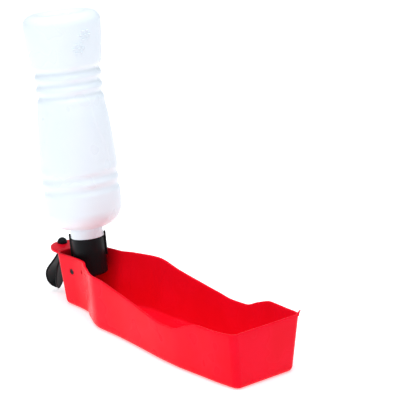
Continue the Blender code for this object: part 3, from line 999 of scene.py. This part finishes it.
    def cutters(self) -> list[Thing]:
        """The holes: both pins, the stud and the oval slot behind the crease.

        Returns:
            The tools to cut with.
        """
        reach = self.head_half + self.wall
        pins = [
            rod(
                f"pin_hole_{side.name.lower()}",
                self.pin_hole,
                Vector((self.pin_x, side.value * 0.004, self.pin_height)),
                Vector((self.pin_x, side.value * reach, self.pin_height)),
            )
            for side in Side
        ]
        stud_x = self.pin_x + self.back_x - self.tongue_length + self.stud_inset
        low, high = (Vector((stud_x, 0, self.rim + reach_z)) for reach_z in (-0.01, 0.01))
        stud = rod("stud_hole", self.stud_hole, low, high)
        x = self.pin_x + self.crease_x - 0.003
        y = -self.half_width(self.crease_x)
        slot = rod("slot", 0.0009, Vector((x, y - self.wall, 0)), Vector((x, y + 2.5 * self.wall, 0)))
        middle = Matrix.Translation((x, 0.0, self.rim - 0.011))
        stretch = Matrix.Diagonal((1, 1, 2.3, 1))
        slot.data.transform(middle @ stretch @ Matrix.Translation((-x, 0, 0)))
        return pins + [stud, slot]

    def build(self, shop: Workshop) -> None:
        """Make the moulding and hand it over.

        Args:
            shop: dresses the pieces.
        """
        body = self.shell()
        combine(body, [self.tongue(), self.nib()], "UNION")
        combine(body, self.cutters(), "DIFFERENCE")
        shop.hand_over(body, Slot.RED, "trough_body", "trough")


# The bottle


@dataclass
class Bottle:
    """The squeeze bottle, along its own axis from the level of the pins."""

    place: Matrix
    end: float = 0.2270
    wall: float = 0.0012
    corner: float = 0.0090
    push_up: float = 0.0030
    neck_radius: float = 0.0118
    bore: float = 0.0102
    bead: float = 0.0142
    bead_low: float = 0.0283
    bead_high: float = 0.0358
    throat: float = 0.0134
    mouth: float = 0.0066
    shoulder_foot: float = 0.0373
    shoulder_top: float = 0.0553
    round_steps: int = 168
    body_steps: int = 150
    panels: int = 3
    panel_turn: float = math.radians(-44.0)
    panel_depth: float = 0.0011
    thread_low: float = 0.0115
    clusters: tuple[Pair, ...] = ((-3.0, 0.2085), (-15.0, 0.1975))
    cluster_radius: float = 0.0042
    line: tuple[Pair, ...] = (
        (0.0553, 0.0332), (0.0630, 0.0337), (0.0900, 0.0338), (0.1140, 0.0329),
        (0.1365, 0.0312), (0.1500, 0.0295), (0.1616, 0.0293), (0.1740, 0.0295),
        (0.1830, 0.0308), (0.1990, 0.0325), (0.2180, 0.0338),
    )
    bands: tuple[tuple[float, float, float, float], ...] = (
        (0.0690, 0.0900, 0.0105, 0.0015),
        (0.1509, 0.1830, 0.0107, 0.0022),
    )

    def groove(self, height: float) -> float:
        """How deep the ring grooves are: a pitch apart, between each band's end crests.

        Args:
            height: distance along the axis.

        Returns:
            The depth in metres.
        """
        for first, last, pitch, depth in self.bands:
            if first <= height <= last:
                return depth * (1 - math.cos(math.tau * (height - first) / pitch)) / 2
        return 0.0

    def panel(self, height: float, angle: float) -> float:
        """How deep the grip panels are: flats that widen towards the neck, with soft edges.

        Args:
            height: distance along the axis.
            angle: the way round it in radians.

        Returns:
            The depth in metres.
        """
        low, high = self.bands[0][1] + 0.001, self.bands[1][0] - 0.001
        if not low < height < high:
            return 0.0
        spread = math.tau / self.panels
        away = (angle - self.panel_turn + spread / 2) % spread - spread / 2
        half = math.radians(60 - 20 * ease(low + 0.004, high - 0.004, height))
        across = abs(away) / half
        fade = ease(low, low + 0.006, height) * (1 - ease(high - 0.005, high, height))
        return self.panel_depth * fade * across**2 * (1 - ease(0.97, 1.05, across))

    def radius(self, height: float, angle: float) -> float:
        """The outer radius of the body."""
        return smooth_at(self.line, height) - self.groove(height) - self.panel(height, angle)

    def side_heights(self) -> list[float]:
        """Heights along the body, from under the base's corner down to the shoulder."""
        top, steps = self.end - self.corner, self.body_steps
        return [top - (top - self.shoulder_top) * k / steps for k in range(steps + 1)]

    def rings(self, inset: float) -> list[Ring]:
        """Rings from the base down to the shoulder's foot.

        Args:
            inset: distance inside the outer skin.

        Returns:
            The rings, from the base's middle outwards and down.
        """
        base = self.line[-1][1] - self.corner
        push = self.end - self.push_up
        shares = (0.06, 0.3, 0.5, 0.6, 0.7, 0.8, 0.9)
        middle = [(base * s, push + self.push_up * ease(0.55, 0.95, s) - inset) for s in shares]
        middle += arc((base, self.end - self.corner), (self.corner - inset,) * 2, 90, 6, 14)
        made = [self.circle(lambda angle, r=r: r, z) for r, z in middle]
        for height in self.side_heights():
            made.append(self.circle(lambda angle, h=height: self.radius(h, angle) - inset, height))
        reach = (self.line[0][1] - self.throat, self.shoulder_top - self.shoulder_foot)
        for r, z in arc((self.throat, self.shoulder_top), reach, 0, -90, 24)[1:]:
            if r - inset > self.bore + 0.0004:
                made.append(self.circle(lambda angle, r=r: r - inset, z + inset))
        return made

    def circle(self, radius: Callable[[float], float], height: float) -> Ring:
        """A ring about the axis.

        Args:
            radius: gives the radius at an angle.
            height: distance along the axis.

        Returns:
            The ring, in its place.
        """
        angles = [math.tau * k / self.round_steps for k in range(self.round_steps)]
        spots = [(radius(a) * math.cos(a), radius(a) * math.sin(a), height) for a in angles]
        return [self.place @ Vector(spot) for spot in spots]

    def shell(self) -> Thing:
        """The whole blow moulding, outside and inside.

        Returns:
            The object.
        """
        neck = rounded(
            [
                (self.throat, self.shoulder_foot + 0.0002),
                (self.bead - 0.0003, self.bead_high),
                (self.bead, self.bead_high - 0.0006),
                (self.bead, self.bead_low),
                (self.neck_radius, self.bead_low),
                (self.neck_radius, self.mouth),
                (self.bore, self.mouth),
                (self.bore, self.shoulder_foot + self.wall),
            ],
            0.0004,
        )
        rings = self.rings(0.0)
        rings += [self.circle(lambda angle, r=r: r, z) for r, z in neck]
        rings += self.rings(self.wall)[::-1]
        return finish_mesh("bottle_shell", skin(rings), 50.0)

    def pips(self, shop: Workshop, group: Group) -> Thing:
        """Small raised domes near the base, in two round clusters of six about one.

        Args:
            shop: dresses the pieces.
            group: the tree that grows the domes.

        Returns:
            The object.
        """
        made = []
        for turn, height in self.clusters:
            ring = arc((0, 0), (self.cluster_radius,) * 2, 0, 300, 5)
            for across, up in [(0.0, 0.0)] + ring:
                angle = math.radians(turn) + across / self.line[-2][1]
                out = self.radius(height + up, angle) - 0.0001
                middle = Vector((out * math.cos(angle), out * math.sin(angle), height + up))
                side = Vector((-math.sin(angle), math.cos(angle), 0.0))
                made.append((middle, side, Vector((0, 0, 1))))
        values = {"Radius": 0.0015, "Stretch": (1.0, 1.0, 0.22), "Finish": shop.materials[Slot.MILKY]}
        return grown("base_pips", group, values, self.place, seeds(made))

    def build(self, shop: Workshop, groups: dict[str, Group]) -> None:
        """Make the bottle, its thread and its pips, and hand them over.

        Args:
            shop: dresses the pieces.
            groups: the Geometry Nodes trees by name.
        """
        shop.hand_over(self.shell(), Slot.MILKY, "bottle_body", "bottle")
        start = self.place @ Matrix.Translation((0, 0, self.thread_low))
        radii = (self.neck_radius - 0.0002, 0.0005)
        shop.thread("neck_thread", groups["helix"], Slot.MILKY, "bottle_body", radii, start)
        shop.hand_over(self.pips(shop, groups["pips"]), Slot.MILKY, "bottle_body")


# The collar and what it holds


@dataclass
class Collar:
    """The black screw collar with its ribs, horns and heel, and the parts inside it."""

    place: Matrix
    fold: Matrix
    offset: float
    radius: float = 0.0146
    bore: float = 0.0123
    top: float = 0.0280
    floor: float = 0.0035
    skirt: float = 0.0030
    dome: float = 0.0040
    nozzle: float = 0.0030
    nozzle_bore: float = 0.0018
    nozzle_tip: float = 0.0104
    rib_width: float = 0.0030
    rib_proud: float = 0.0016
    rib_foot: float = 0.0110
    horn: float = 0.0042
    horn_inner: float = 0.0145
    horn_turn: float = math.radians(47)
    heel_width: float = 0.0070
    heel: Pair = (0.0070, 0.0120)
    pin: float = 0.0024
    pin_inner: float = 0.00936
    thread_low: float = 0.0137

    def shell(self) -> Thing:
        """The turned cup.

        Returns:
            The object.
        """
        hole = self.nozzle + FIT_GAP
        bore, floor, top = self.bore, self.floor, self.top
        dome = [p for p in arc((0, -self.skirt), (self.radius, self.dome), 0, -90, 30) if p[0] > hole]
        cup = [(self.radius, top - 0.0006), (self.radius, 0.004)] + dome
        cup += [(hole, dome[-1][1]), (hole, floor), (bore - 0.001, floor), (bore, floor + 0.001)]
        cup += [(bore, top - 0.0005), (bore + 0.0005, top), (self.radius - 0.0006, top)]
        return turned("collar_shell", cup, self.place, 120)

    def ribs(self) -> list[Thing]:
        """A rib on each side that ends in a small round horn above the rim.

        Returns:
            The blocks to join to the cup.
        """
        made = []
        for name, turn in (("rib_back", self.horn_turn + math.pi), ("rib_front", self.horn_turn)):
            place = self.place @ Matrix.Rotation(turn, 4, "Z")
            outer = self.radius + self.rib_proud
            low = Vector((self.radius - 0.0014, -self.rib_width / 2, self.rib_foot))
            high = Vector((outer, self.rib_width / 2, self.top - 0.0004))
            made.append(block(low, high, place, 0.0006, name))
            horn_low = Vector((self.horn_inner, -self.rib_width / 2, self.top - 0.0040))
            horn_high = Vector((outer + 0.0001, self.rib_width / 2, self.top + self.horn))
            made.append(block(horn_low, horn_high, place, 0.0008, name + "_horn"))
        return made

    def heel_block(self) -> Thing:
        """The stop behind the collar, which rests on the trough's back wall.

        Returns:
            The block to join to the cup.
        """
        ahead, up, pins = (self.fold.col[k].xyz for k in (0, 2, 3))
        reach = (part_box("collar")[0].x - pins.x - self.heel[1] * up.x) / ahead.x
        low = Vector((reach - self.offset + 0.0001, -self.heel_width / 2, self.heel[0]))
        high = Vector((-self.radius + 0.0014, self.heel_width / 2, self.heel[1]))
        return block(low, high, self.place, 0.0005, "heel")

    def pins(self, shop: Workshop, outer: float) -> None:
        """The two pins, with a shallow dimple in each head.

        Args:
            shop: dresses the pieces.
            outer: how far out their heads lie.
        """
        for side in Side:
            turn = Matrix.Rotation(-side.value * math.pi / 2, 4, "X")
            pin, length = self.pin, outer - self.pin_inner
            line = [(0.0, length - 0.0003), (0.0011, length - 0.0002), (0.0015, length)]
            line += [(pin - 0.0004, length), (pin, length - 0.0004)]
            line += [(pin, 0.0003), (pin - 0.0003, 0.0), (0.0, 0.0)]
            start = Matrix.Translation((0.0, side.value * self.pin_inner, 0.0))
            name = f"pivot_pin_{side.name.lower()}"
            piece = turned(name + "_turned", line, self.fold @ start @ turn, 48)
            shop.hand_over(piece, Slot.BLACK, "collar_body", name)

    def nozzle_piece(self) -> Thing:
        """The flanged nozzle through the collar's floor.

        Returns:
            The object.
        """
        low, thick, flange, tip = self.floor + FIT_GAP, 0.0013, 0.0070, self.nozzle_tip
        line = [(flange - 0.0003, low + thick), (flange, low + thick - 0.0003), (flange, low)]
        line += [(self.nozzle, low), (self.nozzle, 0.0005 - tip), (self.nozzle - 0.0005, -tip)]
        line += [(self.nozzle_bore, -tip), (self.nozzle_bore, low + thick)]
        return turned("nozzle_turned", line, self.place, 64)

    def washer(self) -> Thing:
        """The ring that seals the bottle's mouth.

        Returns:
            The object.
        """
        low, thick, cut = self.floor + FIT_GAP, 0.0025, 0.0003
        outer, inner = self.bore - FIT_GAP, 0.0070 + FIT_GAP
        line = [(outer - cut, low + thick), (outer, low + thick - cut)]
        line += [(outer, low + cut), (outer - cut, low), (inner + cut, low), (inner, low + cut)]
        line += [(inner, low + thick - cut), (inner + cut, low + thick)]
        return turned("neck_washer_ring", line, self.place, 80)

    def build(self, shop: Workshop, groups: dict[str, Group], pin_reach: float) -> None:
        """Make the collar and its parts, and hand them over.

        Args:
            shop: dresses the pieces.
            groups: the Geometry Nodes trees.
            pin_reach: how far out the pins' heads lie.
        """
        body = combine(self.shell(), self.ribs() + [self.heel_block()], "UNION")
        shop.hand_over(body, Slot.BLACK, "collar_body", "collar")
        self.pins(shop, pin_reach)
        shop.hand_over(self.nozzle_piece(), Slot.BLACK, "collar_body", "nozzle")
        shop.hand_over(self.washer(), Slot.GREY, "washer_body", "neck_washer")
        start = self.place @ Matrix.Translation((0, 0, self.thread_low))
        radii = (self.bore + 0.0001, 0.0003)
        shop.thread("collar_thread", groups["helix"], Slot.BLACK, "collar_body", radii, start)


# The belt clip


@dataclass
class Clip:
    """The stud, the straight blade and the bowed leaf, in the clip's own turned frame."""

    place: Matrix
    length: float = 0.0415
    rake: float = 0.17
    throat: float = 0.0016
    disc: float = 0.0048
    disc_thickness: float = 0.0030
    blade_width: float = 0.0150
    leaf_width: float = 0.0180
    neck_width: float = 0.0070
    thickness: float = 0.0018
    leaf_drop: float = 0.0010
    bulge: float = 0.0065
    steps: int = 48
    paddle: tuple[Pair, ...] = (
        (0.0, 0.0), (0.15, 0.0), (0.5, 1.0), (0.75, 0.74), (0.93, 0.06), (1.0, -0.5)
    )
    bow: tuple[Pair, ...] = ((0.0, 0.0), (0.25, 0.45), (0.6, 1.0), (0.85, 0.62), (1.0, -0.0615))

    def width(self, share: float, full: float) -> float:
        """A paddle's width from its neck (0) to its tip (1)."""
        return self.neck_width + smooth_at(self.paddle, share) * (full - self.neck_width)

    def section(self, width: float, thickness: float) -> list[Pair]:
        """A flat bar's (across, out) section with round edges and a raised border on both faces.

        Args:
            width: its full width.
            thickness: its full thickness.

        Returns:
            The (across, out) points.
        """
        half, deep = width / 2, thickness / 2
        edge = min(deep, half)
        dish = min(0.0011, half * 0.3)
        right = arc((half - edge, 0.0), (edge, deep), -90, 90, 8)
        top = [(half - edge - dish, deep * 0.72), (-half + edge + dish, deep * 0.72)]
        left = arc((-half + edge, 0.0), (edge, deep), 90, 270, 8)
        low = [(-half + edge + dish, -deep * 0.72), (half - edge - dish, -deep * 0.72)]
        return right + top + left + low

    def strip(self, name: str, line: Callable[[float], Pair], full: float) -> Thing:
        """A paddle that follows a line in the clip's plane.

        Args:
            name: the piece's name.
            line: gives the (x, z) of the middle at a share of the way down.
            full: its full width.

        Returns:
            The object.
        """
        rings = []
        for k in range(self.steps + 1):
            share = k / self.steps
            (ax, az), (bx, bz) = line(max(share - 0.01, 0.0)), line(min(share + 0.01, 1.0))
            along = Vector((bx - ax, 0.0, bz - az)).normalized()
            out = Vector((along.z, 0.0, -along.x))
            x, z = line(share)
            middle = Vector((x, 0.0, z))
            thick = self.thickness * (0.75 if k in (0, self.steps) else 1.0)
            pairs = self.section(self.width(share, full), thick)
            rings.append([self.place @ (middle + Vector((0, a, 0)) + out * o) for a, o in pairs])
        return finish_mesh(name, skin(rings), 50.0)

    def blade_line(self, share: float) -> Pair:
        """The blade hangs straight from the disc.

        Args:
            share: how far down, from 0 to 1.

        Returns:
            The (x, z) of its middle.
        """
        root = self.disc_thickness / 2
        drop = (self.length - root) * share
        return (self.throat / 2 + self.thickness / 2 - self.rake * drop, -root - drop)

    def leaf_line(self, share: float) -> Pair:
        """The leaf bows out and comes back to the blade at its tip.

        Args:
            share: how far down, from 0 to 1.

        Returns:
            The (x, z) of its middle.
        """
        top = self.disc_thickness + self.leaf_drop
        drop = (self.length - top) * share
        lean = self.rake * (drop + top - self.disc_thickness / 2)
        bow = self.bulge * smooth_at(self.bow, share)
        return (-self.throat / 2 - self.thickness / 2 - bow - lean, -top - drop)

    def stud(self) -> Thing:
        """The round-headed stud through the tongue, with a dimple in its head.

        Returns:
            The object.
        """
        top, knob, high, stem = 0.0030, 0.0045, 0.0048, 0.0020
        dome = arc((0.0, top), (knob, high), 78, 4, 14)
        head = [(0.0, top + high - 0.0009), (0.0006, top + high - 0.0008)] + dome
        line = head + [(knob - 0.0001, top), (stem, top), (stem, FIT_GAP), (0.0, FIT_GAP)]
        return turned("clip_stud_turned", line, self.place, 64)

    def grips(self, shop: Workshop, group: Group) -> Thing:
        """Low ribs across the leaf's outer face, where a thumb pushes it.

        Args:
            shop: dresses the pieces.
            group: the tree that grows the domes.

        Returns:
            The object.
        """
        made = []
        for k in range(5):
            x, z = self.leaf_line(0.42 + 0.07 * k)
            middle = Vector((x - self.thickness * 0.36, 0.0, z))
            made.append((middle, Vector((0, 0, 1)), Vector((0, 1, 0))))
        values = {"Radius": 0.0005, "Stretch": (1.0, 9.0, 1.0), "Finish": shop.materials[Slot.BLACK]}
        return grown("leaf_grips", group, values, self.place, seeds(made))

    def build(self, shop: Workshop, groups: dict[str, Group]) -> None:
        """Make the clip and hand it over.

        Args:
            shop: dresses the pieces.
            groups: the Geometry Nodes trees by name.
        """
        shop.hand_over(self.stud(), Slot.BLACK, "clip_body", "clip_stud")
        t = self.disc_thickness
        rim = [(0.0, 0.0), (self.disc - 0.0005, 0.0), (self.disc, -0.0005), (self.disc, -t + 0.0005)]
        disc = turned("disc", rim + [(self.disc - 0.0005, -t), (0.0, -t)], self.place, 64)
        strip = self.strip("clip_blade_moulding", self.blade_line, self.blade_width)
        blade = combine(strip, [disc], "UNION")
        shop.hand_over(blade, Slot.BLACK, "clip_body", "clip_blade")
        leaf = self.strip("clip_leaf_moulding", self.leaf_line, self.leaf_width)
        shop.hand_over(leaf, Slot.BLACK, "leaf_body", "clip_leaf")
        shop.hand_over(self.grips(shop, groups["pips"]), Slot.BLACK, "leaf_body")


@dataclass
class SealPad:
    """The rubber pad on the back wall, which shuts the nozzle when the bottle is folded away."""

    rounding: float = 0.0003

    def build(self, shop: Workshop) -> None:
        """Soften the edges of a copy of the CAD pad and hand it over.

        Args:
            shop: dresses the pieces.
        """
        cad = frame["nodes"]["seal_pad"]
        shape = bmesh.new()
        shape.from_mesh(cad.data)
        bmesh.ops.remove_doubles(shape, verts=shape.verts, dist=1e-5)
        edges = [e for e in shape.edges if e.is_manifold and e.calc_face_angle() > math.radians(50)]
        soften(shape, edges, self.rounding)
        pad = finish_mesh("seal_pad_soft", shape, 60.0)
        shop.hand_over(pad, Slot.GREY, "trough_body", "seal_pad")


# The studio


def outward(azimuth: float, elevation: float) -> Vector:
    """The way out from the object, in degrees round from -Y towards +X and above the horizon."""
    a, e = math.radians(azimuth), math.radians(elevation)
    return Vector((math.sin(a) * math.cos(e), -math.cos(a) * math.cos(e), math.sin(e)))


@dataclass
class Studio:
    """A pale floor, soft light and the camera."""

    azimuth: float = 48.59
    elevation: float = 18.39
    lens: float = 192.97
    camera_at: tuple[float, float, float] = (1.2837, -1.1024, 0.6887)
    floor_size: float = 8.0
    floor_glow: float = 0.45
    light_distance: float = 1.6
    light_aim: float = 0.1
    surround: float = 0.50

    def floor(self) -> None:
        """A wide pale floor."""
        shape = bmesh.new()
        bmesh.ops.create_grid(shape, x_segments=4, y_segments=4, size=self.floor_size / 2)
        mesh = bpy.data.meshes.new("floor")
        shape.to_mesh(mesh)
        shape.free()
        made = bpy.data.objects.new("floor", mesh)
        bpy.context.scene.collection.objects.link(made)
        paper = bpy.data.materials.new("pale_floor")
        paper.use_nodes = True
        shader = paper.node_tree.nodes["Principled BSDF"]
        settings = {
            "Base Color": (0.93, 0.93, 0.93, 1.0),
            "Roughness": 0.9,
            "Specular IOR Level": 0.1,
            "Emission Color": (1.0, 1.0, 1.0, 1.0),
            "Emission Strength": self.floor_glow,
        }
        for socket, value in settings.items():
            shader.inputs[socket].default_value = value
        mesh.materials.append(paper)

    def light(self, name: str, azimuth: float, elevation: float, size: float, power: float) -> None:
        """A square soft light that faces the object.

        Args:
            name: its name.
            azimuth: degrees round from -Y towards +X.
            elevation: degrees above the horizon.
            size: its side in metres.
            power: watts.
        """
        data = bpy.data.lights.new(name, "AREA")
        data.shape = "SQUARE"
        data.size = size
        data.energy = power
        made = bpy.data.objects.new(name, data)
        back = outward(azimuth, elevation)
        made.location = back * self.light_distance + Vector((0.0, 0.0, self.light_aim))
        made.rotation_euler = back.to_track_quat("Z", "Y").to_euler()
        bpy.context.scene.collection.objects.link(made)

    def world(self) -> None:
        """An even white surround."""
        made = bpy.data.worlds.new("surround")
        made.use_nodes = True
        sky = made.node_tree.nodes["Background"]
        sky.inputs["Color"].default_value = (0.84, 0.91, 1.0, 1.0)
        sky.inputs["Strength"].default_value = self.surround
        bpy.context.scene.world = made

    def camera(self) -> None:
        """The camera, with no shift and no depth of field."""
        data = bpy.data.cameras.new("camera")
        data.sensor_width = 36.0
        data.lens = self.lens
        data.clip_start, data.clip_end = 0.05, 30.0
        made = bpy.data.objects.new("camera", data)
        back = outward(self.azimuth, self.elevation)
        made.location = self.camera_at
        made.rotation_euler = (-back).to_track_quat("-Z", "Y").to_euler()
        bpy.context.scene.collection.objects.link(made)
        bpy.context.scene.camera = made

    def build(self) -> None:
        """Set up the floor, the lights, the surround and the camera."""
        self.floor()
        self.world()
        self.light("key", -18.0, 38.0, 0.9, 1.8)
        self.light("front_fill", 75.0, 30.0, 1.1, 1.0)
        self.light("overhead", 10.0, 84.0, 1.2, 20.0)
        self.camera()
        bpy.context.scene.view_settings.view_transform = "Standard"


def joint(name: str) -> tuple[Vector, Vector]:
    """A joint's point and axis, from the frame."""
    found = next(j for j in frame["joints"] if j["name"] == name)
    return Vector(found["pos_m"]), Vector(found["axis"]).normalized()


def main() -> None:
    """Build every sub-assembly in order, then the studio round it."""
    logging.basicConfig(level=logging.INFO, format="%(name)s %(message)s")
    shop = Workshop()
    shop.stock((RED, MILKY, BLACK, GREY))
    groups = {"helix": helix_group(), "pips": pip_group()}

    pins, _ = joint("bottle_fold")
    _, up = joint("bottle_turn")
    stud, _ = joint("clip_swivel")
    _, leaf_axis = joint("leaf_flex")
    ahead = Vector((up.z, 0.0, -up.x))
    fold = Matrix.Translation(pins) @ Matrix((ahead, (0, 1, 0), up)).transposed().to_4x4()
    axis = fold @ Matrix.Translation((PIN_OFFSET, 0.0, 0.0))
    turn = math.atan2(-leaf_axis.x, leaf_axis.y)

    trough = Trough(pin_x=pins.x, pin_height=pins.z, front=-2 * pins.x)
    trough.build(shop)
    SealPad().build(shop)
    pin_reach = trough.half_width(0.0) - trough.side_draft * (trough.rim_height(0.0) - pins.z)
    Collar(place=axis, fold=fold, offset=PIN_OFFSET).build(shop, groups, pin_reach)
    Bottle(place=axis).build(shop, groups)
    Clip(place=Matrix.Translation(stud) @ Matrix.Rotation(turn, 4, "Z")).build(shop, groups)
    Studio().build()


if __name__ == "__main__":
    main()
